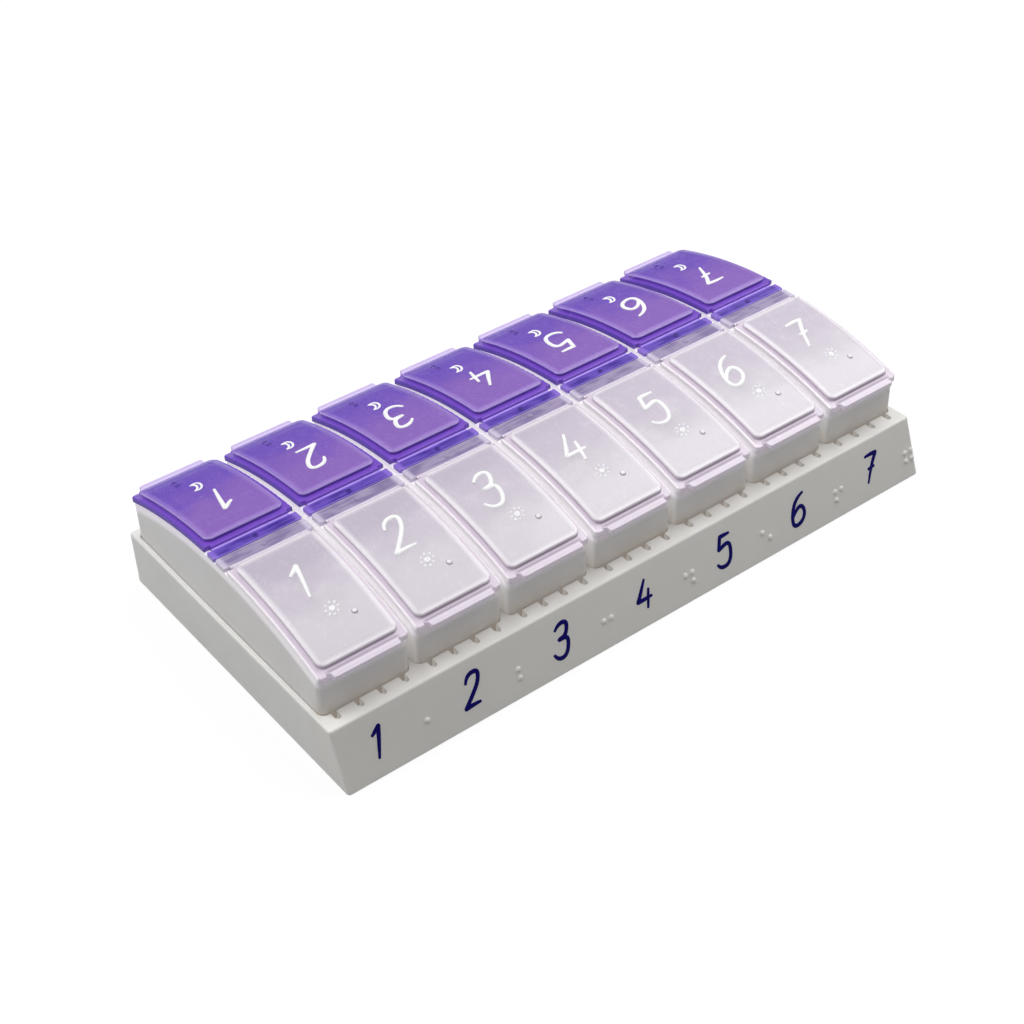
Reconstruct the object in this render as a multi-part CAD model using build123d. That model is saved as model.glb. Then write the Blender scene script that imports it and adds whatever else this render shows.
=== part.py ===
from build123d import *
import os
from math import asin, degrees, sqrt

# Weekly pill organizer: a tray, seven lift-out day boxes and two hinged lids on every box.
# Millimetres. X runs along the days, Y from front to back, Z up, the origin under the middle of the tray.

# Days
DAYS = 7
DAY_GAP = 2.1

# Day box
BOX_WIDTH = 25.9
BOX_DEPTH = 88.4
BOX_HEIGHT = 33.7
BOX_CORNER = 1.8
BOX_WALL = 1.3
BOX_FLOOR = 1.5
BOX_FOOT_ROUND = 0.6
POCKET_CORNER = 2.2
FLOOR_SCOOP = 2.0
ARCH_RADIUS = 132.0
BRIDGE_DROP = 0.2
BRIDGE_WALL = 1.2
BRIDGE_END_WALL = 2.6
BRIDGE_SLAB = 1.6
BRIDGE_INSET = 0.2

# Tray
TRAY_HEIGHT = 16.8
TRAY_FLOOR = 1.6
TRAY_WALL = 1.6
TRAY_CORNER = 0.9
TRAY_TOP_ROUND = 0.7
TRAY_FOOT_ROUND = 0.3
END_WALL = 1.35
BACK_RIM = 2.35
LEDGE_DEPTH = 5.15
FRONT_RUN = 6.1
BAY_GAP = 0.25

# Slots in the ledge
SLOTS_PER_DAY = 4
SLOT_WIDTH = 1.7
SLOT_LENGTH = 2.8
SLOT_DROP = 2.2
SLOT_DRAW_IN = 0.45

# Raised number cells on the front face
DOT_PITCH = 2.4
DOT_WIDTH = 1.7
DOT_RISE = 0.5
CELL_FROM_DAY_END = 3.1
CELL_FROM_FOOT = 7.9

# Anchor bars and film hinges
PM_BAR_DEPTH = 3.3
AM_BAR_DEPTH = 4.5
BAR_PARTING = 0.2
BAR_THICK = 1.1
BAR_CORNER = 0.8
BAR_EDGE = 0.25
PEG_WIDTH = 1.4
PEG_LENGTH = 2.2
PEG_SPACING = 16.0
PEG_GAP = 0.1
GATE_WIDTH = 1.6
GATE_RISE = 0.15
FILM_LENGTH = 0.7
FILM_THICK = 0.35
FILM_SINK = 0.05

# Lids
LID_GAP = 0.2
LID_FRONT_REACH = 0.7
LID_CORNER = 1.2
FLANGE_THICK = 1.4
FLANGE_EDGE = 0.35
RELIEF_WIDTH = 1.75
RELIEF_DEPTH = 0.9
TAB_INSET = 3.4
TAB_ROOT = 1.5
TAB_REACH = 1.9
TAB_FLARE = 1.0
TAB_SHOULDER = 0.45
TAB_CORNER = 0.8
TAB_THICK = 1.2
TAB_EDGE = 0.3
PILLOW_SIDE_INSET = 1.55
PILLOW_HINGE_INSET = 1.8
PILLOW_THUMB_INSET = 1.6
PILLOW_RISE = 1.25
PILLOW_CORNER = 2.0
PILLOW_EDGE = 0.45
LID_WALL = 1.2
RIB_INSET = 5.0
RIB_THICK = 0.7
RIB_DROP = 1.3
RIB_GAP = 0.5
AM_DOT_ACROSS = 4.7
AM_DOT_REACH = 34.4
PM_DOT_ACROSS = -3.2
PM_DOT_REACH = 36.0

# Places that follow from the sizes above
DAY_PITCH = BOX_WIDTH + DAY_GAP
SLOT_PITCH = DAY_PITCH / SLOTS_PER_DAY - SLOT_DRAW_IN
TRAY_LENGTH = (DAYS - 1) * DAY_PITCH + BOX_WIDTH + 2 * (BAY_GAP + END_WALL)
TRAY_DEPTH = FRONT_RUN + LEDGE_DEPTH + BOX_DEPTH + 2 * BAY_GAP + BACK_RIM
FRONT = -TRAY_DEPTH / 2
BACK = TRAY_DEPTH / 2
BAY_FRONT = FRONT + FRONT_RUN + LEDGE_DEPTH
BOX_MIDDLE = BAY_FRONT + BAY_GAP + BOX_DEPTH / 2
RIM_CROWN = TRAY_FLOOR + BOX_HEIGHT
BRIDGE_TOP = RIM_CROWN - BRIDGE_DROP
BAR_END = (PM_BAR_DEPTH + AM_BAR_DEPTH + BAR_PARTING) / 2
BAR_TOP = BRIDGE_TOP + BAR_THICK
LID_START = BAR_END + FILM_LENGTH
LID_END = BOX_DEPTH / 2 + LID_FRONT_REACH
LID_HALF_WIDTH = BOX_WIDTH / 2
FILM_HALF_WIDTH = LID_HALF_WIDTH - RELIEF_WIDTH
BRIDGE_HALF = LID_START - BRIDGE_INSET
LID_BOTTOM_RADIUS = ARCH_RADIUS + LID_GAP
FLANGE_RADIUS = LID_BOTTOM_RADIUS + FLANGE_THICK
PILLOW_RADIUS = FLANGE_RADIUS + PILLOW_RISE
TALL = 2 * RIM_CROWN


def day_x(day):
    """Middle of a day's bay along the tray."""
    return (day - (DAYS + 1) / 2) * DAY_PITCH


def upright(plan, bottom, top):
    """A straight prism on a plan drawn in the XY plane."""
    return Pos(0, 0, bottom) * extrude(plan, top - bottom)


def arch(radius):
    """A cylinder along X under the arch of the rim or of a lid, with the day box's middle at Y zero."""
    return Pos(0, 0, RIM_CROWN - ARCH_RADIUS) * Rot(0, 90, 0) * Cylinder(radius, 2 * BOX_WIDTH)


def dome():
    """A raised tactile dot standing on the XY plane."""
    radius = (DOT_WIDTH**2 / 4 + DOT_RISE**2) / (2 * DOT_RISE)
    return (Pos(0, 0, DOT_RISE - radius) * Sphere(radius)) & Box(DOT_WIDTH, DOT_WIDTH, 2 * DOT_RISE)


def cell_dots(day):
    """Columns and rows of the raised dots that spell a day's number, counted from the upper left."""
    dots = [(0, 0)]
    if day in (3, 4, 6, 7):
        dots.append((1, 0))
    if day in (2, 6, 7):
        dots.append((0, 1))
    if day in (4, 5, 7):
        dots.append((1, 1))
    return dots


def make_tray_shell():
    """The tray's outer block with its leaning front face."""
    profile = Polyline((FRONT, 0), (BACK, 0), (BACK, TRAY_HEIGHT), (FRONT + FRONT_RUN, TRAY_HEIGHT), close=True)
    block = extrude(Plane.YZ * make_face(profile), TRAY_LENGTH / 2, both=True)
    corner_edges = [edge for edge in block.edges() if abs(edge.tangent_at(0.5).Z) > 0.5]
    block = fillet(corner_edges, TRAY_CORNER)
    block = fillet(block.faces().sort_by(Axis.Z)[-1].edges(), TRAY_TOP_ROUND)
    return fillet(block.faces().sort_by(Axis.Z)[0].edges(), TRAY_FOOT_ROUND)


def make_ledge_hollow():
    """The space under one day's stretch of the front ledge, open below."""
    lean = FRONT_RUN / TRAY_HEIGHT
    skin = TRAY_WALL * (1 + lean**2) ** 0.5
    roof = TRAY_HEIGHT - TRAY_WALL
    wall = BAY_FRONT - TRAY_WALL
    profile = Polyline((FRONT + skin, 0), (wall, 0), (wall, roof), (FRONT + skin + lean * roof, roof), close=True)
    return extrude(Plane.YZ * make_face(profile), BOX_WIDTH / 2, both=True)


def make_ledge_slot():
    """One round-ended slot through the inner edge of the ledge."""
    plan = SlotCenterToCenter(2 * SLOT_LENGTH - SLOT_WIDTH, SLOT_WIDTH, rotation=90)
    return Pos(0, BAY_FRONT, 0) * upright(plan, TRAY_HEIGHT - SLOT_DROP, TALL)


def make_tray():
    tray = make_tray_shell()
    bay_plan = RectangleRounded(BOX_WIDTH + 2 * BAY_GAP, BOX_DEPTH + 2 * BAY_GAP, BOX_CORNER + BAY_GAP)
    bay = Pos(0, BOX_MIDDLE, 0) * upright(bay_plan, TRAY_FLOOR, TALL)
    hollow = make_ledge_hollow()
    slot = make_ledge_slot()
    dot = dome()
    front_face = Plane((0, FRONT, 0), x_dir=(1, 0, 0), z_dir=(0, -TRAY_HEIGHT, FRONT_RUN))
    for day in range(1, DAYS + 1):
        here = Pos(day_x(day), 0, 0)
        tray -= here * bay
        tray -= here * hollow
        for number in range(SLOTS_PER_DAY):
            across = (number - (SLOTS_PER_DAY - 1) / 2) * SLOT_PITCH
            tray -= here * Pos(across, 0, 0) * slot
        for column, row in cell_dots(day):
            across = day_x(day) + DAY_PITCH / 2 - CELL_FROM_DAY_END + column * DOT_PITCH
            tray += front_face * Pos(across, CELL_FROM_FOOT - row * DOT_PITCH, 0) * dot
    return tray


def peg_places(bar_depth):
    """The two pegs of a bar, measured from the day box's middle towards the lid."""
    reach = BAR_END - bar_depth / 2
    return [(-PEG_SPACING / 2, reach), (PEG_SPACING / 2, reach)]


def make_box():
    """A day box with its middle on the Z axis, at its height in the tray."""
    box = upright(RectangleRounded(BOX_WIDTH, BOX_DEPTH, BOX_CORNER), TRAY_FLOOR, TALL) & arch(ARCH_RADIUS)
    on_top = (Align.CENTER, Align.CENTER, Align.MIN)
    box -= Pos(0, 0, BRIDGE_TOP) * Box(2 * BOX_WIDTH, 2 * LID_START, TALL, align=on_top)
    box = fillet(box.faces().sort_by(Axis.Z)[0].edges(), BOX_FOOT_ROUND)

    length = BOX_DEPTH / 2 - BOX_WALL - BRIDGE_HALF
    pocket_plan = RectangleRounded(BOX_WIDTH - 2 * BOX_WALL, length, POCKET_CORNER)
    pocket = upright(pocket_plan, TRAY_FLOOR + BOX_FLOOR, TALL)
    pocket = fillet(pocket.faces().sort_by(Axis.Z)[0].edges(), FLOOR_SCOOP)
    for side in (-1, 1):
        box -= Pos(0, side * (BRIDGE_HALF + length / 2), 0) * pocket

    core_plan = Rectangle(BOX_WIDTH - 2 * BRIDGE_END_WALL, 2 * (BRIDGE_HALF - BRIDGE_WALL))
    box -= upright(core_plan, 0, BRIDGE_TOP - BRIDGE_SLAB)
    hole = Pos(0, 0, BRIDGE_TOP) * Cylinder(PEG_WIDTH / 2 + PEG_GAP, 2 * PEG_LENGTH)
    for x, reach in peg_places(PM_BAR_DEPTH):
        box -= Pos(x, reach, 0) * hole
    for x, reach in peg_places(AM_BAR_DEPTH):
        box -= Pos(x, -reach, 0) * hole
    return box


def make_bar(depth):
    """An anchor bar, pegged to the bridge, with square edges only along the film."""
    middle = BAR_END - depth / 2
    plan = Pos(0, middle, 0) * Rectangle(2 * LID_HALF_WIDTH, depth)
    plan = fillet(plan.vertices().sort_by(Axis.Y)[:2], BAR_CORNER)
    bar = upright(plan, BRIDGE_TOP, BAR_TOP)
    top_edges = bar.faces().sort_by(Axis.Z)[-1].edges().sort_by(Axis.Y)
    bar = fillet(top_edges[:-1], BAR_EDGE)
    for x, reach in peg_places(depth):
        bar += Pos(x, reach, BRIDGE_TOP - PEG_LENGTH / 2) * Cylinder(PEG_WIDTH / 2, PEG_LENGTH)
    return bar + Pos(0, middle, BAR_TOP) * Cylinder(GATE_WIDTH / 2, 2 * GATE_RISE)


def make_film():
    """The thin web between a bar and its lid."""
    film = Box(2 * FILM_HALF_WIDTH, FILM_LENGTH, FILM_THICK, align=(Align.CENTER, Align.MIN, Align.MAX))
    return Pos(0, BAR_END, BAR_TOP - FILM_SINK) * film


def mirrored_outline(right):
    """A closed outline from its right-hand points."""
    left = [(-x, y) for x, y in reversed(right)]
    return make_face(Polyline(*right, *left, close=True))


def make_flange():
    """The lid's arched plate, with relief steps beside the film."""
    relief_end = LID_START + RELIEF_DEPTH
    plan = mirrored_outline([
        (FILM_HALF_WIDTH, LID_START),
        (FILM_HALF_WIDTH, relief_end),
        (LID_HALF_WIDTH, relief_end),
        (LID_HALF_WIDTH, LID_END),
    ])
    plan = fillet(plan.vertices().sort_by(Axis.Y)[-2:], LID_CORNER)
    plate = upright(plan, 0, TALL) & arch(FLANGE_RADIUS)
    plate = fillet(plate.faces().sort_by(Axis.Z)[-1].edges(), FLANGE_EDGE)
    return plate - arch(LID_BOTTOM_RADIUS)


def make_tab():
    """The level thumb tab, with flared shoulders, that stands out from the arched plate."""
    half = LID_HALF_WIDTH - TAB_INSET
    root = LID_END - TAB_ROOT
    top = RIM_CROWN - ARCH_RADIUS + sqrt(FLANGE_RADIUS**2 - root**2)
    plan = mirrored_outline([
        (half + TAB_FLARE, root),
        (half + TAB_FLARE, LID_END),
        (half, LID_END),
        (half, LID_END + TAB_REACH),
    ])
    plan = fillet(plan.vertices().sort_by(Axis.Y)[2:-2], TAB_SHOULDER)
    plan = fillet(plan.vertices().sort_by(Axis.Y)[-2:], TAB_CORNER)
    tab = upright(plan, top - TAB_THICK, top)
    tab = fillet(tab.faces().sort_by(Axis.Z)[-1].edges(), TAB_EDGE)
    return tab - arch(LID_BOTTOM_RADIUS)


def make_lid(dots):
    """A back lid: plate, thumb tab, hollow pillow, closing rib and tactile dots."""
    start = LID_START + PILLOW_HINGE_INSET
    end = LID_END - PILLOW_THUMB_INSET
    half_width = LID_HALF_WIDTH - PILLOW_SIDE_INSET
    pillow_plan = Pos(0, (start + end) / 2, 0) * RectangleRounded(2 * half_width, end - start, PILLOW_CORNER)
    pillow = upright(pillow_plan, 0, TALL) & arch(PILLOW_RADIUS)
    pillow = fillet(pillow.faces().sort_by(Axis.Z)[-1].edges(), PILLOW_EDGE)
    lid = make_flange() + make_tab() + (pillow - arch(LID_BOTTOM_RADIUS))

    rib_end = BOX_DEPTH / 2 - BOX_WALL - RIB_GAP
    inner_start = start + LID_WALL
    inner_end = rib_end - RIB_THICK
    inner_plan = RectangleRounded(2 * (half_width - LID_WALL), inner_end - inner_start, PILLOW_CORNER - PILLOW_EDGE)
    inner_plan = Pos(0, (inner_start + inner_end) / 2, 0) * inner_plan
    lid -= upright(inner_plan, 0, TALL) & arch(PILLOW_RADIUS - LID_WALL)

    outward = (Align.CENTER, Align.MIN, Align.MIN)
    rib = Pos(0, inner_end, 0) * Box(2 * (LID_HALF_WIDTH - RIB_INSET), RIB_THICK, TALL, align=outward)
    lid += (rib & arch(LID_BOTTOM_RADIUS + FLANGE_THICK / 2)) - arch(LID_BOTTOM_RADIUS - RIB_DROP)

    for x, reach in dots:
        lean = Rot(-degrees(asin(reach / PILLOW_RADIUS)), 0, 0)
        lid += Pos(0, 0, RIM_CROWN - ARCH_RADIUS) * lean * Pos(x, 0, PILLOW_RADIUS) * dome()
    return lid


def turned(piece):
    """The same piece turned half round, for the front half of a box."""
    return Rot(0, 0, 180) * piece


def save(name, piece, day):
    placed = Pos(day_x(day), BOX_MIDDLE, 0) * piece
    export_step(placed, f"parts/{name}_{day}.step")


os.makedirs("parts", exist_ok=True)
export_step(make_tray(), "parts/tray.step")

day_box = make_box()
am_bar = make_bar(AM_BAR_DEPTH)
pm_bar = make_bar(PM_BAR_DEPTH)
film = make_film()
am_lid = make_lid([(-AM_DOT_ACROSS, AM_DOT_REACH)])
pm_lid = make_lid([(PM_DOT_ACROSS, PM_DOT_REACH), (PM_DOT_ACROSS, PM_DOT_REACH + DOT_PITCH)])
for day in range(1, DAYS + 1):
    save("day_box", day_box, day)
    save("am_lid", turned(am_lid), day)
    save("am_film_hinge", turned(film), day)
    save("am_anchor_bar", turned(am_bar), day)
    save("pm_lid", pm_lid, day)
    save("pm_film_hinge", film, day)
    save("pm_anchor_bar", pm_bar, day)
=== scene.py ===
from math import atan2, cos, pi, radians, sin, sqrt

import bpy
from mathutils import Euler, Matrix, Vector


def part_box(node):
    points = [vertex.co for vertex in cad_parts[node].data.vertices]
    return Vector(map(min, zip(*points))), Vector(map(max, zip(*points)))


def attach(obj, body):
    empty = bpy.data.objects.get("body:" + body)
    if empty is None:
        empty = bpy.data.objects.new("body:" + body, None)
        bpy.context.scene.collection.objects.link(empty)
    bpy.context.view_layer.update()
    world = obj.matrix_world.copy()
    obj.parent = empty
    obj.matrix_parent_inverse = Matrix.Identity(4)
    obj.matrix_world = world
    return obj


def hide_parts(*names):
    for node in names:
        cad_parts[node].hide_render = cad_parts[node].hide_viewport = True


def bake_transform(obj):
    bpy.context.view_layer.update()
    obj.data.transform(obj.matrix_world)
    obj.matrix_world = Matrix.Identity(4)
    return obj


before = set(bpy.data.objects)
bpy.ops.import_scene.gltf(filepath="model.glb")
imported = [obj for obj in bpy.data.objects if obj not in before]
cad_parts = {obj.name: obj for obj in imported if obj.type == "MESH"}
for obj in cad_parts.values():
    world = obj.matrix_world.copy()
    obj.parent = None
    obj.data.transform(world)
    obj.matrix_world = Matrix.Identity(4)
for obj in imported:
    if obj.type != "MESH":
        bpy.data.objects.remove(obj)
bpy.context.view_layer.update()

# Weekly pill organizer: finishes for the tray, boxes and lids, printed numerals, and film hinges.
# Lengths are metres, written as millimetres times MM.
MM = 0.001
DAYS = range(1, 8)

# The photograph's camera
CAMERA_PLACE = Vector((-245.06, -315.44, 324.61)) * MM
CAMERA_TURN = Euler([radians(angle) for angle in (51.319, 1.4515, -37.9505)])
CAMERA_LENS = 64.62
CAMERA_SENSOR = 36.0
CAMERA_NEAR = 10.0 * MM

# The room: each lamp's place, aim, size and power
LAMPS = {
    "key": ((-0.6, 0.45, 1.05), (0, 0, 0), (0.7, 0.7), 8.2),
    "overhead": ((0.5, 0.1, 0.85), (0, 0, 0), (0.9, 0.9), 3.7),
    "front": ((-0.3, -0.28, 1.0), (0, 0, 0), (0.2, 0.2), 1.5),
    "side": ((0.32, -0.06, 0.4), (0.06, 0, 0), (0.3, 0.3), 0.6),
}
ROOM_LIGHT = 0.24
BACKDROP_LIGHT = 1.0
FLOOR_SIZE = 6.0
FLOOR_PAPER = 0.24
FLOOR_PAPER_SEEN = 0.6
FLOOR_GLOW = 1.08
FLOOR_GLOW_SHARE = 0.75

# The tray's leaning front face and its ledge
FRONT_FOOT = -51.25 * MM
FRONT_RUN = 6.1 * MM
LEDGE_TOP = 16.8 * MM

# The boxes and the arch that every lid follows
DAY_PITCH = 28.0 * MM
BOX_FRONT = -39.75 * MM
ARCH_MIDDLE = 4.45 * MM
ARCH_CENTRE_HEIGHT = -96.7 * MM
FLANGE_RADIUS = 133.6 * MM
LID_HALF_WIDTH = 12.95 * MM
OUTER_WALL = 3 * DAY_PITCH + LID_HALF_WIDTH
PANEL_RADIUS = 134.85 * MM
PANEL_HALF_WIDTH = 11.4 * MM
PANEL_START = 6.5 * MM
PANEL_END = 43.3 * MM
PANEL_ROLL = 2.0 * MM
PANEL_ROUND = 0.3 * MM
TAB_ROOT = 44.3 * MM

# Patches in the tints of white plastic and ink
CLOUD_BAND = (0.35, 0.75)
INK_PATCH_SIZE = 1.2 * MM

# White plastic: where each change of tint, painted shade and painted glow starts and where it is complete
LOW_SHADE_FADE = (15.0 * MM, 24.0 * MM)
FRONT_FADE = (BOX_FRONT + 1.0 * MM, BOX_FRONT + 6.0 * MM)
# Painted light at the rims: where the front lids' pink light turns to the back lids' violet light, and the
# band near the lids that it fills
RIM_CHANGE = (2.0 * MM, 10.0 * MM)
RIM_BAND = (FLANGE_RADIUS - 5.0 * MM, FLANGE_RADIUS - 2.0 * MM)
END_WALL_BAND = (OUTER_WALL - 0.6 * MM, OUTER_WALL - 0.2 * MM)
# Painted glow: the box walls in the gaps between the lids, and the slots in the tray's ledge
GAP_BAND = (LID_HALF_WIDTH - 0.7 * MM, LID_HALF_WIDTH - 0.1 * MM)
SLOT_FRONT = (BOX_FRONT - 2.6 * MM, BOX_FRONT - 0.8 * MM)
SLOT_BACK = (BOX_FRONT + 0.5 * MM, BOX_FRONT + 1.5 * MM)
SLOT_TOP = (LEDGE_TOP - 0.5 * MM, LEDGE_TOP - 0.2 * MM)
WHITE_CLOUD_SIZE = 14.0 * MM
WHITE_GRAIN_SIZE = 0.35 * MM
WHITE_FLOW_SIZE = 6.0 * MM
# Warm painted shade: how much of the warm colour is painted low down, and how much more at the front and in
# its streaks
LOW_SHADE_SHARE = 0.1
FRONT_SHADE_SHARE = 0.3
FRONT_SHADE_FLOW_SHARE = 0.6
# Strength of the painted glow at rims, gaps and slots, which stands in for light let through the plastic
PAINTED_GLOW_STRENGTH = 0.13
RIM_LEAN = 0.65
BLACK = (0, 0, 0, 1.0)

# Lid plastic: the bands that tell its panel, wall, plate, dots, edges and thumb tab apart
PANEL_BAND = (PANEL_RADIUS - 0.5 * MM, PANEL_RADIUS - 0.3 * MM)
WALL_BAND = (FLANGE_RADIUS + 0.1 * MM, FLANGE_RADIUS + 0.25 * MM)
ROUND_BAND = (PANEL_RADIUS - 0.16 * MM, PANEL_RADIUS - 0.02 * MM)
DOT_BAND = (PANEL_RADIUS + 0.03 * MM, PANEL_RADIUS + 0.09 * MM)
CROWN_BAND = (PANEL_RADIUS + 0.2 * MM, PANEL_RADIUS + 0.36 * MM)
LID_RIM_BAND = (LID_HALF_WIDTH - 0.55 * MM, LID_HALF_WIDTH - 0.2 * MM)
SIDE_ROLL = (PANEL_HALF_WIDTH - PANEL_ROLL, PANEL_HALF_WIDTH - PANEL_ROUND)
HINGE_ROLL = (PANEL_START + PANEL_ROUND, PANEL_START + PANEL_ROLL)
THUMB_ROLL = (PANEL_END - PANEL_ROLL, PANEL_END - PANEL_ROUND)
TAB_BAND = (TAB_ROOT, TAB_ROOT + 0.8 * MM)
# Painted reflection along the lid's panel: where it fades in, and how far the clouds move its edge
REFLECTION_FADE = (14.0 * MM, 36.0 * MM)
REFLECTION_WANDER = 24.0 * MM
FROST_BAND = (0.5, 0.75)
FROST_SHARE = 0.14
LID_CLOUD_SIZE = 9.0 * MM
LID_RIPPLE_SIZE = 5.0 * MM
LID_GRAIN_SIZE = 0.5 * MM
LID_FROST_SIZE = 0.9 * MM
# How much less painted shade the side walls get than the end walls
SIDE_WALL_PALER = 0.6
# Share of the painted highlight on the panel's rounded edge
ROUND_HIGHLIGHT_SHARE = 0.85
RIM_COVER = 0.95
CLOUD_COVER = 0.06
LIGHT_LET_THROUGH = 0.6
ROLL_DEPTH = 2.5

# Anchor bars
GATE_BAND = (0.4 * MM, 1.0 * MM)
BAR_END_BAND = (LID_HALF_WIDTH - 2.2 * MM, LID_HALF_WIDTH - 0.8 * MM)
BAR_EDGE_START = 0.5 * MM
BAR_EDGE_FULL = 0.15 * MM
BAR_STREAK_SIZE = 1.0 * MM
BAR_PATCH_SIZE = 3.5 * MM
BAR_STREAK_SHARE = 0.55
BAR_PATCH_SHARE = 0.45
BAR_TINT_BAND = (0.38, 0.6)
BAR_EDGE_HIGHLIGHT_SHARE = 0.55
BAR_END_SHARE = 0.75

# Hand-written numerals and the two marks: pen strokes on a grid that is fourteen high
GRID_HEIGHT = 14.0
STROKES = {
    1: [[(1.4, 10.8), (3.0, 12.0), (5.0, 14.0), (5.0, 14.0), (4.8, 9.0), (4.2, 0.0)]],
    2: [[(1.2, 10.6), (1.6, 14.4), (7.8, 15.0), (7.8, 9.8), (4.4, 4.8), (0.6, 0.2), (0.6, 0.2), (4.6, 0.6),
         (8.6, 0.4)]],
    3: [[(1.4, 12.2), (3.2, 14.9), (8.4, 14.6), (7.6, 8.4), (3.6, 7.7), (3.6, 7.7), (9.0, 7.6), (7.8, -0.8),
         (2.2, -0.9), (0.4, 2.4)]],
    4: [[(4.6, 14.0), (2.6, 8.8), (0.6, 4.6), (0.6, 4.6), (4.8, 4.6), (9.0, 4.8)],
        [(6.8, 9.0), (6.6, 4.6), (6.2, -0.2)]],
    5: [[(8.2, 13.8), (5.0, 13.8), (2.4, 13.8), (2.4, 13.8), (1.6, 8.0), (1.6, 8.0), (8.6, 10.4), (9.0, -0.4),
         (2.2, -1.2), (0.4, 1.8)]],
    6: [[(7.4, 13.8), (3.2, 12.6), (0.2, 6.0), (0.9, -0.9), (6.2, -0.7), (8.8, 3.4), (6.6, 8.0), (2.6, 6.8),
         (1.2, 3.8)]],
    7: [[(0.8, 13.6), (4.4, 14.0), (8.4, 13.6), (8.4, 13.6), (5.4, 8.0), (3.4, 0.0)],
        [(3.0, 7.0), (5.2, 7.2), (7.6, 7.4)]],
}
STROKE_MIDDLE = 4.6
STROKE_SLANT = 0.2
STROKE_TAPER = 0.6
STROKE_ORDER = 3
STROKE_STEPS = 6
PEN_ROUNDING = 3
SUN = "sun"
SUN_RAYS = 8
SUN_DISC = 1.7
SUN_RAY_POINTS = (4.6, 5.7, 6.8)
MOON = "moon"
STROKES[MOON] = [[(7.4, 13.0), (7.4, 13.0), (1.6, 14.0), (-1.4, 7.0), (1.6, 0.0), (7.4, 1.0), (7.4, 1.0),
                  (3.4, 3.6), (3.4, 10.4), (7.4, 13.0)]]
FRONT_NUMERAL_HEIGHT = 8.2 * MM
FRONT_NUMERAL_SHIFT = -3.0 * MM
FRONT_NUMERAL_RISE = 8.6 * MM
FRONT_PEN = 0.62 * MM
FRONT_INK_RISE = 0.12 * MM
LID_NUMERAL_HEIGHT = 10.5 * MM
LID_NUMERAL_REACH = 20.5 * MM
LID_NUMERAL_SHIFT = -0.6 * MM
LID_PEN = 0.62 * MM
LID_INK_RISE = 0.3 * MM
MARK_HEIGHT = 4.4 * MM
MARK_REACH = 31.0 * MM
MARK_SHIFT = 0.6 * MM
MARK_PEN = 0.34 * MM
MARK_RISE = 0.16 * MM
SMOOTH_ANGLE = radians(40)

# Film hinges
FILM_CUTS = 7
FILM_WAIST = 0.6
FILM_STREAK_SIZE = 0.8 * MM
FILM_STREAK_BAND = (0.3, 0.7)


class Value:
    """A node's output that sums can be written with."""

    def __init__(self, finish, socket):
        self.finish = finish
        self.socket = socket

    def __add__(self, other):
        return self.finish.maths("ADD", self, other)

    def __radd__(self, other):
        return self.finish.maths("ADD", other, self)

    def __sub__(self, other):
        return self.finish.maths("SUBTRACT", self, other)

    def __rsub__(self, other):
        return self.finish.maths("SUBTRACT", other, self)

    def __mul__(self, other):
        return self.finish.maths("MULTIPLY", self, other)

    def __rmul__(self, other):
        return self.finish.maths("MULTIPLY", other, self)

    def __pow__(self, other):
        return self.finish.maths("POWER", self, other)

    def __abs__(self):
        return self.finish.maths("ABSOLUTE", self)


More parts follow.
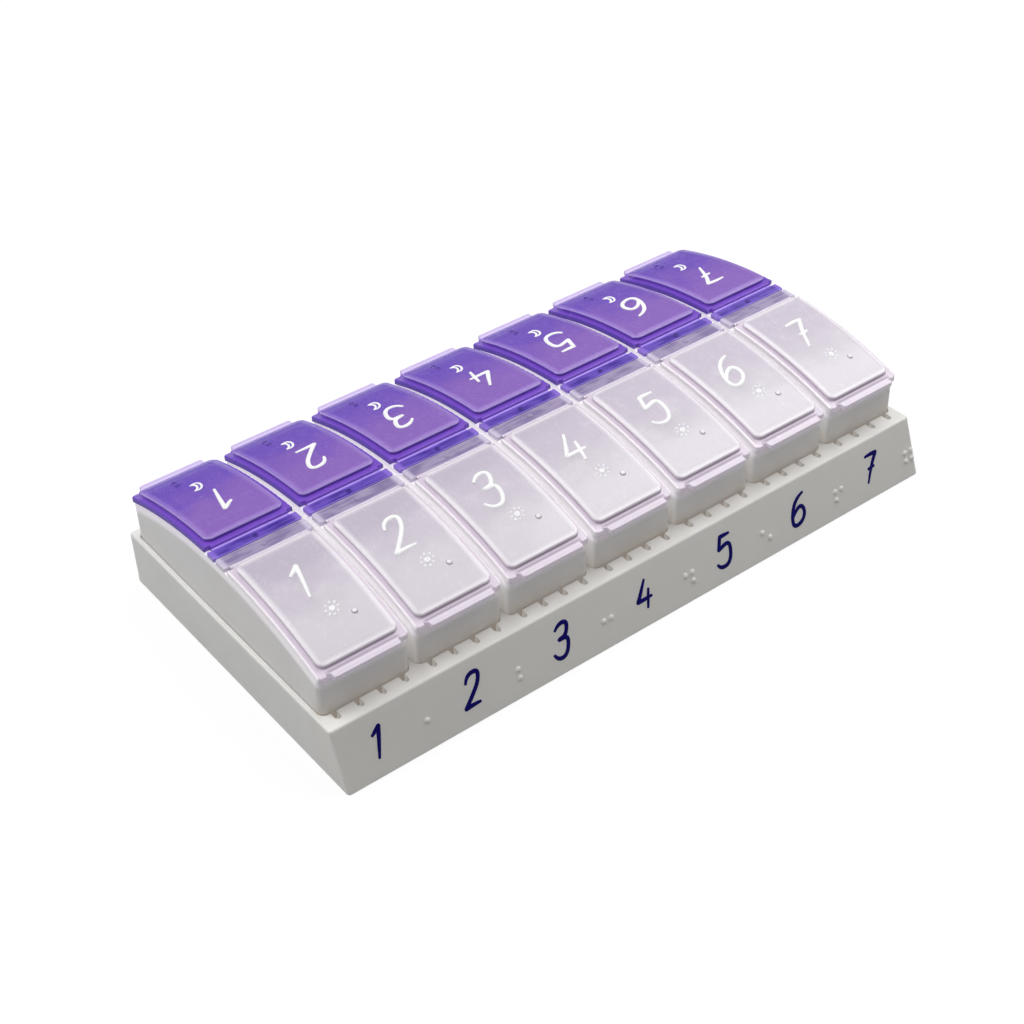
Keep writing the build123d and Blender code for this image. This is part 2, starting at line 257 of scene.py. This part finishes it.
class Finish:
    """A material or a world being put together."""

    def __init__(self, owner):
        self.owner = owner
        owner.use_nodes = True
        self.tree = owner.node_tree
        self.tree.nodes.clear()

    def node(self, kind, settings=None, inputs=None, output=0):
        """Add a node, with its settings and its inputs, and give one of its outputs."""
        made = self.tree.nodes.new(kind)
        for name, setting in (settings or {}).items():
            setattr(made, name, setting)
        for name, value in (inputs or {}).items():
            if isinstance(value, Value):
                self.tree.links.new(value.socket, made.inputs[name])
            else:
                made.inputs[name].default_value = value
        return Value(self, made.outputs[output])

    def maths(self, operation, *values):
        return self.node("ShaderNodeMath", {"operation": operation}, dict(enumerate(values)))

    def ray(self, look):
        """One for the named kind of light ray, zero for the others."""
        return self.node("ShaderNodeLightPath", output=look)

    def place(self):
        return self.node("ShaderNodeTexCoord", output="Object")

    def along(self, axis):
        """A point's place along X, Y or Z."""
        return self.node("ShaderNodeSeparateXYZ", None, {0: self.place()}, output=axis)

    def across_day(self):
        """A point's distance to the left or right of its day's middle."""
        return self.maths("PINGPONG", self.along("X"), DAY_PITCH / 2)

    def from_arch(self):
        """The distance from the lids' arch centre line, and the distance from its middle plane."""
        reach = self.along("Y") - ARCH_MIDDLE
        height = self.along("Z") - ARCH_CENTRE_HEIGHT
        return (reach * reach + height * height) ** 0.5, abs(reach)

    def noise(self, size, detail=3.0, roughness=0.5, stretch=(1.0, 1.0, 1.0)):
        drawn = self.node("ShaderNodeMapping", None, {"Vector": self.place(), "Scale": stretch})
        return self.node("ShaderNodeTexNoise", None, {
            "Vector": drawn, "Scale": 1 / size, "Detail": detail, "Roughness": roughness})

    def step(self, value, low, high):
        """Zero below low, one above high and a smooth climb between them."""
        return self.node("ShaderNodeMapRange", {"interpolation_type": "SMOOTHSTEP"}, {
            "Value": value, "From Min": low, "From Max": high})

    def mix(self, share, first, second):
        """The first colour where share is zero, the second where it is one."""
        return self.node("ShaderNodeMix", {"data_type": "RGBA"}, {0: share, 6: first, 7: second}, output=2)

    def lifted(self, share):
        """The surface's normal leaned towards the top, as on an edge that gathers light from above."""
        normal = self.node("ShaderNodeNewGeometry", output="Normal")
        top = self.node("ShaderNodeVectorTransform", {"vector_type": "VECTOR", "convert_from": "OBJECT",
                                                      "convert_to": "WORLD"}, {0: (0.0, 0.0, 1.0)})
        leaned = self.node("ShaderNodeMix", {"data_type": "VECTOR"}, {0: share, 4: normal, 5: top}, output=1)
        return self.node("ShaderNodeVectorMath", {"operation": "NORMALIZE"}, {0: leaned})

    def bump(self, height, distance, strength, lift=0.0):
        return self.node("ShaderNodeBump", None, {
            "Height": height, "Distance": distance, "Strength": strength, "Normal": self.lifted(lift)})

    def close(self, inputs):
        return self.end(self.node("ShaderNodeBsdfPrincipled", None, inputs))

    def end(self, surface, kind="ShaderNodeOutputMaterial"):
        last = self.tree.nodes.new(kind)
        self.tree.links.new(surface.socket, last.inputs["Surface"])
        return self.owner


def new_finish(name):
    return Finish(bpy.data.materials.new(name))


def colour(red, green, blue):
    return (red, green, blue, 1.0)


def white_plastic(name, pale, dull, warm, front_rim_light, back_rim_light, gap_share, slot_share):
    """Satin moulded plastic: clouds, fine grain, warm painted shade low down, painted light and glow at rims,
    gaps and slots.
    """
    finish = new_finish(name)
    clouds = finish.noise(WHITE_CLOUD_SIZE, detail=4.0)
    grain = finish.noise(WHITE_GRAIN_SIZE, detail=2.0)
    flow = finish.noise(WHITE_FLOW_SIZE, detail=2.0, stretch=(1.0, 1.0, 0.15))
    across, back, up = (finish.along(axis) for axis in "XYZ")

    low_down = 1 - finish.step(up, *LOW_SHADE_FADE)
    at_front = 1 - finish.step(back, *FRONT_FADE)
    near_rim = finish.step(finish.from_arch()[0], *RIM_BAND)
    inside = 1 - finish.step(abs(across), *END_WALL_BAND)
    in_gap = inside * finish.step(finish.across_day(), *GAP_BAND)
    in_slot = finish.step(back, *SLOT_FRONT) * inside * (1 - finish.step(back, *SLOT_BACK))
    in_slot = in_slot * (1 - finish.step(up, *SLOT_TOP))

    # Painted shade: the warm colour darkens the plastic low down, most at the front, in streaks
    low_shade_share = low_down * (LOW_SHADE_SHARE + at_front * (FRONT_SHADE_SHARE + flow * FRONT_SHADE_FLOW_SHARE))
    # Painted light: near the rims the plastic takes the pink light of the front lids and the violet light of
    # the back lids
    rim = finish.mix(finish.step(back, *RIM_CHANGE), front_rim_light, back_rim_light)
    tint = finish.mix(finish.step(clouds, *CLOUD_BAND), pale, dull)
    tint = finish.mix(low_shade_share, tint, warm)
    tint = finish.mix(near_rim, tint, rim)
    # Painted glow: emission in the pale colour in the gaps between the boxes and in the warm colour in the
    # tray's slots
    painted_glow = finish.mix(in_gap * gap_share, BLACK, pale)
    painted_glow = finish.mix(in_slot * slot_share, painted_glow, warm)
    return finish.close({
        "Base Color": tint,
        "Roughness": 0.36 + clouds * 0.12 + grain * 0.05,
        "IOR": 1.5,
        "Specular IOR Level": 0.42,
        "Subsurface Weight": 0.35,
        "Subsurface Radius": (1.0, 0.95, 0.95),
        "Subsurface Scale": 2.5 * MM,
        # Painted glow: the rim colour near the rims, the gap and slot glow elsewhere
        "Emission Color": finish.mix(near_rim, painted_glow, rim),
        "Emission Strength": PAINTED_GLOW_STRENGTH,
        "Normal": finish.bump(grain, 0.02 * MM, 0.35, near_rim * RIM_LEAN)})


def lid_plastic(name, panel, glow, flange, wall, edge, rim, dot_shade, crown, tab, edge_highlight_share, panel_cover,
                flange_cover, coat):
    """Translucent lid plastic: own tints and frost, a painted reflection along the panel, painted highlights
    on edges and clear dot crowns, painted shade on wall and dots.
    """
    finish = new_finish(name)
    radius, reach = finish.from_arch()
    across = finish.across_day()

    on_panel = finish.step(radius, *PANEL_BAND)
    on_wall = finish.step(radius, *WALL_BAND) * (1 - on_panel)
    on_round = on_panel * (1 - finish.step(radius, *ROUND_BAND))
    # Painted light on the dots: the dot colour is painted shade; the crown is a painted highlight on the
    # clear lid and painted shade on the violet lid
    on_dot = finish.step(radius, *DOT_BAND)
    on_crown = finish.step(radius, *CROWN_BAND)
    # The lid's side edge: near white on the clear lid as a painted highlight, a deeper violet on the violet
    # lid
    on_rim = finish.step(across, *LID_RIM_BAND)
    on_tab = finish.step(reach, *TAB_BAND)
    near_side = finish.step(across, *SIDE_ROLL)
    near_end = 1 - finish.step(reach, *HINGE_ROLL) + finish.step(reach, *THUMB_ROLL)
    near_edge = finish.maths("MAXIMUM", near_side, near_end)

    clouds = finish.noise(LID_CLOUD_SIZE, detail=3.0)
    ripple = finish.noise(LID_RIPPLE_SIZE, detail=1.0, stretch=(1.0, 0.6, 1.0))
    grain = finish.noise(LID_GRAIN_SIZE, detail=2.0)
    frost = finish.noise(LID_FROST_SIZE, detail=3.0, roughness=0.7, stretch=(1.0, 0.35, 1.0))
    # Painted reflection: the clear panel lightens towards its thumb end and the violet panel deepens there,
    # in the glow colour
    face = finish.mix(finish.step(reach + (clouds - 0.5) * REFLECTION_WANDER, *REFLECTION_FADE), panel, glow)
    # Painted highlight: a pale band along the panel's rolled borders; the frost speckle in the same pale
    # colour is the plastic's own
    face = finish.mix(near_edge * edge_highlight_share + finish.step(frost, *FROST_BAND) * FROST_SHARE, face, edge)
    tint = finish.mix(on_panel, flange, face)
    # Painted shade: the panel's wall is darkened in the wall colour, less on the side walls
    tint = finish.mix(on_wall * (1 - near_side * SIDE_WALL_PALER), tint, wall)
    # Painted highlight on the panel's rounded edge
    tint = finish.mix(on_round * ROUND_HIGHLIGHT_SHARE, tint, edge)
    for share, overlay_tint in ((on_dot, dot_shade), (on_crown, crown), (on_rim, rim), (on_tab, tab)):
        tint = finish.mix(share, tint, overlay_tint)

    cover = flange_cover + (on_panel + on_wall) * (panel_cover - flange_cover)
    cover = cover + on_rim * (RIM_COVER - flange_cover) + (clouds - 0.5) * CLOUD_COVER
    relief = ripple + grain * 0.03 - near_edge * on_panel * ROLL_DEPTH
    return finish.close({
        "Base Color": tint,
        "Roughness": 0.15 + clouds * 0.16 + grain * 0.05,
        "IOR": 1.49,
        "Specular IOR Level": 0.25 + coat * 0.6,
        "Coat Weight": coat,
        "Coat Roughness": 0.05,
        "Alpha": cover * (1 - finish.ray("Is Shadow Ray") * LIGHT_LET_THROUGH),
        "Normal": finish.bump(relief, 0.16 * MM, 0.6, on_rim * RIM_LEAN)})


def bar_plastic(name, pale, deep, end, gate, middle, half_depth, cover):
    """Anchor bar plastic: streaks along the bar, a painted highlight along its long edges, paler ends, and
    the moulding gate's spot.
    """
    finish = new_finish(name)
    across = finish.across_day()
    along = finish.along("Y") - middle
    on_gate = 1 - finish.step((across * across + along * along) ** 0.5, *GATE_BAND)
    on_end = finish.step(across, *BAR_END_BAND)
    on_edge = finish.step(abs(along), half_depth - BAR_EDGE_START, half_depth - BAR_EDGE_FULL)
    streaks = finish.noise(BAR_STREAK_SIZE, detail=3.0, roughness=0.6, stretch=(0.1, 1.0, 1.0))
    patches = finish.noise(BAR_PATCH_SIZE, detail=1.0, stretch=(0.6, 1.0, 1.0))
    flow = streaks * BAR_STREAK_SHARE + patches * BAR_PATCH_SHARE
    tint = finish.mix(finish.step(flow, *BAR_TINT_BAND), deep, pale)
    # Painted highlight: the bar's long edges are lightened in the end colour
    tint = finish.mix(on_edge * BAR_EDGE_HIGHLIGHT_SHARE, tint, end)
    tint = finish.mix(on_end * BAR_END_SHARE, tint, end)
    tint = finish.mix(on_gate, tint, gate)
    return finish.close({
        "Base Color": tint,
        "Roughness": 0.16 + streaks * 0.14,
        "IOR": 1.49,
        "Coat Weight": 0.3,
        "Coat Roughness": 0.06,
        "Alpha": cover,
        "Normal": finish.bump(streaks, 0.2 * MM, 0.5)})


def film_plastic(name, pale, dull):
    """Film hinge plastic, pale as a painted highlight along the hinge line, with streaky patches."""
    finish = new_finish(name)
    film_streaks = finish.noise(FILM_STREAK_SIZE, detail=2.0, stretch=(0.2, 1.0, 1.0))
    return finish.close({
        "Base Color": finish.mix(finish.step(film_streaks, *FILM_STREAK_BAND), pale, dull),
        "Roughness": 0.2 + film_streaks * 0.15,
        "Coat Weight": 0.3,
        "Normal": finish.bump(film_streaks, 0.03 * MM, 0.4)})


def print_ink(name, pale, dull, gloss):
    """Printing ink with a slightly uneven cover."""
    finish = new_finish(name)
    patches = finish.noise(INK_PATCH_SIZE, detail=3.0)
    return finish.close({
        "Base Color": finish.mix(finish.step(patches, *CLOUD_BAND), pale, dull),
        "Roughness": 0.42 + patches * 0.2,
        "Specular IOR Level": gloss,
        "Normal": finish.bump(patches, 0.02 * MM, 0.4)})


def dress(name, material):
    """Give a CAD node its finish."""
    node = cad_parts[name]
    node.data.materials.clear()
    node.data.materials.append(material)


def start_piece():
    bpy.ops.object.select_all(action="DESELECT")


def finish_piece(piece, name, material):
    """Put a piece's place into its mesh and give it its finish."""
    piece.name = name
    bpy.ops.object.transform_apply(location=True, rotation=True, scale=True)
    bpy.ops.object.shade_smooth_by_angle(angle=SMOOTH_ANGLE)
    piece.data.materials.clear()
    piece.data.materials.append(material)
    return piece


def sun_strokes():
    """A disc with rays round it."""
    turns = [2 * pi * ray / SUN_RAYS for ray in range(SUN_RAYS + 1)]

    def point(turn, reach):
        return STROKE_MIDDLE + reach * sin(turn), GRID_HEIGHT / 2 + reach * cos(turn)

    disc = [point(turn, SUN_DISC) for turn in turns]
    return [disc] + [[point(turn, reach) for reach in SUN_RAY_POINTS] for turn in turns[:-1]]


def pen_strokes(mark, height, pen, rise):
    """A flat mark in rounded pen strokes, its middle on the origin and its top towards +Y."""
    start_piece()
    path = bpy.data.curves.new("numeral", "CURVE")
    path.dimensions = "3D"
    path.bevel_depth = pen
    path.bevel_resolution = PEN_ROUNDING
    path.use_fill_caps = True
    unit = height / GRID_HEIGHT
    for stroke in STROKES[mark]:
        line = path.splines.new("NURBS")
        line.points.add(len(stroke) - 1)
        for point, (across, up) in zip(line.points, stroke):
            up = up - GRID_HEIGHT / 2
            across = across - STROKE_MIDDLE + STROKE_SLANT * up
            point.co = (across * unit, up * unit, 0, 1)
        line.points[0].radius = STROKE_TAPER
        line.points[-1].radius = STROKE_TAPER
        line.order_u = STROKE_ORDER
        line.use_endpoint_u = True
        line.use_cyclic_u = stroke[0] == stroke[-1]
        line.resolution_u = STROKE_STEPS
    numeral = bpy.data.objects.new("numeral", path)
    bpy.context.scene.collection.objects.link(numeral)
    bpy.context.view_layer.objects.active = numeral
    numeral.select_set(True)
    bpy.ops.object.convert(target="MESH")
    numeral = bpy.context.object
    numeral.scale = (1, 1, rise / pen)
    bpy.ops.object.transform_apply(scale=True)
    return numeral


def panel_height(y):
    """Height of a lid's panel above the floor."""
    return ARCH_CENTRE_HEIGHT + sqrt(PANEL_RADIUS**2 - (y - ARCH_MIDDLE)**2)


def day_middle(day):
    low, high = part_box(f"day_box_{day}")
    return (low.x + high.x) / 2


def lay_on_panel(mark, half, day, reach, shift):
    """Turn a flat mark to read from its own side and curve it on to the lid's panel."""
    side = -1 if half == "am" else 1
    mark.rotation_euler.z = 0 if half == "am" else pi
    mark.location = (day_middle(day) - side * shift, ARCH_MIDDLE + side * reach, 0)
    bpy.ops.object.transform_apply(location=True, rotation=True, scale=True)
    for vertex in mark.data.vertices:
        vertex.co.z += panel_height(vertex.co.y)


def write_front_numeral(day, ink):
    """A day's numeral on the tray's leaning front face."""
    tray_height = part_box("tray")[1].z
    numeral = pen_strokes(day, FRONT_NUMERAL_HEIGHT, FRONT_PEN, FRONT_INK_RISE)
    numeral.rotation_euler.x = atan2(tray_height, FRONT_RUN)
    numeral.location = (day_middle(day) + FRONT_NUMERAL_SHIFT,
                        FRONT_FOOT + FRONT_RUN * FRONT_NUMERAL_RISE / tray_height, FRONT_NUMERAL_RISE)
    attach(finish_piece(numeral, f"front_numeral_{day}", ink), "tray")


def write_lid_numeral(half, day, ink):
    numeral = pen_strokes(day, LID_NUMERAL_HEIGHT, LID_PEN, LID_INK_RISE)
    lay_on_panel(numeral, half, day, LID_NUMERAL_REACH, LID_NUMERAL_SHIFT)
    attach(finish_piece(numeral, f"{half}_numeral_{day}", ink), f"{half}_lid_{day}")


def draw_lid_mark(half, day, ink):
    """The sun of a front lid or the crescent of a back lid."""
    mark = pen_strokes(SUN if half == "am" else MOON, MARK_HEIGHT, MARK_PEN, MARK_RISE)
    lay_on_panel(mark, half, day, MARK_REACH, MARK_SHIFT)
    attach(finish_piece(mark, f"{half}_mark_{day}", ink), f"{half}_lid_{day}")


def make_film(half, day, plastic):
    """A film hinge with a waist, cut across several times."""
    low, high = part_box(f"{half}_film_hinge_{day}")
    middle = (low + high) / 2
    length = high.y - low.y
    start_piece()
    bpy.ops.mesh.primitive_cube_add(size=1.0, location=middle, scale=high - low)
    film = bpy.context.object
    bpy.ops.object.transform_apply(location=True, rotation=True, scale=True)
    bpy.ops.object.mode_set(mode="EDIT")
    bpy.ops.mesh.select_mode(type="EDGE")
    bpy.ops.mesh.select_all(action="DESELECT")
    bpy.ops.object.mode_set(mode="OBJECT")
    for edge in film.data.edges:
        first, second = (film.data.vertices[index].co for index in edge.vertices)
        edge.select = abs(first.y - second.y) > length / 2
    bpy.ops.object.mode_set(mode="EDIT")
    bpy.ops.mesh.subdivide(number_cuts=FILM_CUTS)
    bpy.ops.object.mode_set(mode="OBJECT")
    for vertex in film.data.vertices:
        share = cos(pi * (vertex.co.y - middle.y) / length)
        vertex.co.z = middle.z + (vertex.co.z - middle.z) * (1 - (1 - FILM_WAIST) * share)
    film = finish_piece(film, f"{half}_film_{day}", plastic)
    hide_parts(f"{half}_film_hinge_{day}")
    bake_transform(film)


def add_floor():
    """A white floor that keeps the object's shadow and throws little light back at it."""
    start_piece()
    bpy.ops.mesh.primitive_plane_add(size=FLOOR_SIZE, location=(0, 0, 0))
    floor = bpy.context.object
    floor.name = "floor"
    finish = new_finish("pale_floor")
    seen = finish.ray("Is Camera Ray") + finish.ray("Is Glossy Ray") + finish.ray("Is Transmission Ray")
    seen = finish.maths("MINIMUM", seen, 1.0)
    paper = finish.node("ShaderNodeBsdfDiffuse", None, {"Color": FLOOR_PAPER + seen * FLOOR_PAPER_SEEN})
    glow = finish.node("ShaderNodeEmission", None, {"Color": colour(1, 1, 1), "Strength": FLOOR_GLOW})
    mixed = finish.node("ShaderNodeMixShader", None, {0: seen * FLOOR_GLOW_SHARE, 1: paper, 2: glow})
    floor.data.materials.append(finish.end(mixed))


def add_softbox(name, place, aim, size, power):
    lamp = bpy.data.lights.new(name, "AREA")
    lamp.shape = "RECTANGLE"
    lamp.size, lamp.size_y = size
    lamp.energy = power
    holder = bpy.data.objects.new(name, lamp)
    holder.location = place
    holder.rotation_euler = (Vector(aim) - Vector(place)).to_track_quat("-Z", "Y").to_euler()
    bpy.context.scene.collection.objects.link(holder)


def light_room():
    """Dim light from all round, a white backdrop and the softboxes."""
    room = Finish(bpy.data.worlds.new("studio"))
    dim, bright = (room.node("ShaderNodeBackground", None, {"Color": colour(1, 1, 1), "Strength": strength})
                   for strength in (ROOM_LIGHT, BACKDROP_LIGHT))
    mixed = room.node("ShaderNodeMixShader", None, {0: room.ray("Is Camera Ray"), 1: dim, 2: bright})
    bpy.context.scene.world = room.end(mixed, "ShaderNodeOutputWorld")
    for name, (place, aim, size, power) in LAMPS.items():
        add_softbox(name, place, aim, size, power)


def add_camera():
    lens = bpy.data.cameras.new("camera")
    lens.lens = CAMERA_LENS
    lens.sensor_width = CAMERA_SENSOR
    lens.clip_start = CAMERA_NEAR
    camera = bpy.data.objects.new("camera", lens)
    camera.location = CAMERA_PLACE
    camera.rotation_euler = CAMERA_TURN
    bpy.context.scene.collection.objects.link(camera)
    bpy.context.scene.camera = camera


# The warm colour is painted shade low down and at the front, and the painted glow in the tray's slots
tray_white = white_plastic(
    "tray_white", pale=colour(0.86, 0.855, 0.835), dull=colour(0.83, 0.825, 0.80),
    warm=colour(0.83, 0.81, 0.77), front_rim_light=colour(0.86, 0.855, 0.835), back_rim_light=colour(0.86, 0.855, 0.835),
    gap_share=0.0, slot_share=0.9)
# The warm colour is painted shade at the boxes' foot; the rim colours are painted light from the lids
box_white = white_plastic(
    "box_white", pale=colour(0.86, 0.85, 0.84), dull=colour(0.83, 0.82, 0.81), warm=colour(0.72, 0.63, 0.55),
    front_rim_light=colour(0.97, 0.91, 0.97), back_rim_light=colour(0.95, 0.88, 0.99), gap_share=0.75, slot_share=0.0)
# Clear lid: the edge, crown and rim colours are painted highlights, the wall and dot colours painted shade,
# the glow colour a painted reflection
clear_lid = lid_plastic(
    "clear_lid", panel=colour(0.53, 0.48, 0.57), glow=colour(0.655, 0.622, 0.675),
    flange=colour(0.77, 0.68, 0.79), wall=colour(0.40, 0.34, 0.42), edge=colour(0.98, 0.94, 0.99),
    rim=colour(0.98, 0.92, 0.98), dot_shade=colour(0.40, 0.36, 0.43), crown=colour(0.98, 0.95, 0.99),
    tab=colour(0.78, 0.71, 0.80), edge_highlight_share=0.8, panel_cover=0.8, flange_cover=0.7, coat=0.4)
# Violet lid: the edge colour is a painted highlight, the wall, dot and crown colours painted shade, the glow
# colour a painted reflection
violet_lid = lid_plastic(
    "violet_lid", panel=colour(0.26, 0.135, 0.49), glow=colour(0.15, 0.07, 0.50),
    flange=colour(0.20, 0.078, 0.58), wall=colour(0.16, 0.065, 0.50), edge=colour(0.58, 0.44, 0.92),
    rim=colour(0.13, 0.055, 0.50), dot_shade=colour(0.06, 0.02, 0.28), crown=colour(0.075, 0.028, 0.34),
    tab=colour(0.72, 0.6, 0.92), edge_highlight_share=0.3, panel_cover=0.85, flange_cover=0.8, coat=0.2)
# The bars' end colour also paints the highlight along their long edges
clear_bar = bar_plastic(
    "clear_bar", pale=colour(0.40, 0.33, 0.51), deep=colour(0.24, 0.185, 0.38), end=colour(0.76, 0.70, 0.86),
    gate=colour(0.36, 0.30, 0.48), middle=2.7 * MM, half_depth=2.25 * MM, cover=0.8)
violet_bar = bar_plastic(
    "violet_bar", pale=colour(0.135, 0.067, 0.49), deep=colour(0.05, 0.02, 0.30),
    end=colour(0.30, 0.18, 0.72), gate=colour(0.03, 0.012, 0.20), middle=6.8 * MM, half_depth=1.65 * MM,
    cover=0.92)
# The films' pale colours are the painted highlight along each hinge line
clear_film = film_plastic("clear_film", pale=colour(0.88, 0.85, 0.92), dull=colour(0.8, 0.77, 0.86))
violet_film = film_plastic("violet_film", pale=colour(0.48, 0.34, 0.88), dull=colour(0.38, 0.25, 0.8))
navy_ink = print_ink("navy_ink", pale=colour(0.003, 0.001, 0.12), dull=colour(0.005, 0.002, 0.17), gloss=0.08)
white_ink = print_ink("white_ink", pale=colour(0.9, 0.9, 0.9), dull=colour(0.86, 0.86, 0.88), gloss=0.5)

STROKES[SUN] = sun_strokes()
dress("tray", tray_white)
for day in DAYS:
    dress(f"day_box_{day}", box_white)
    dress(f"am_lid_{day}", clear_lid)
    dress(f"am_anchor_bar_{day}", clear_bar)
    dress(f"pm_lid_{day}", violet_lid)
    dress(f"pm_anchor_bar_{day}", violet_bar)
    make_film("am", day, clear_film)
    make_film("pm", day, violet_film)
    write_front_numeral(day, navy_ink)
    write_lid_numeral("am", day, white_ink)
    write_lid_numeral("pm", day, white_ink)
    draw_lid_mark("am", day, white_ink)
    draw_lid_mark("pm", day, white_ink)

add_floor()
light_room()
add_camera()
bpy.context.scene.view_settings.view_transform = "Standard"
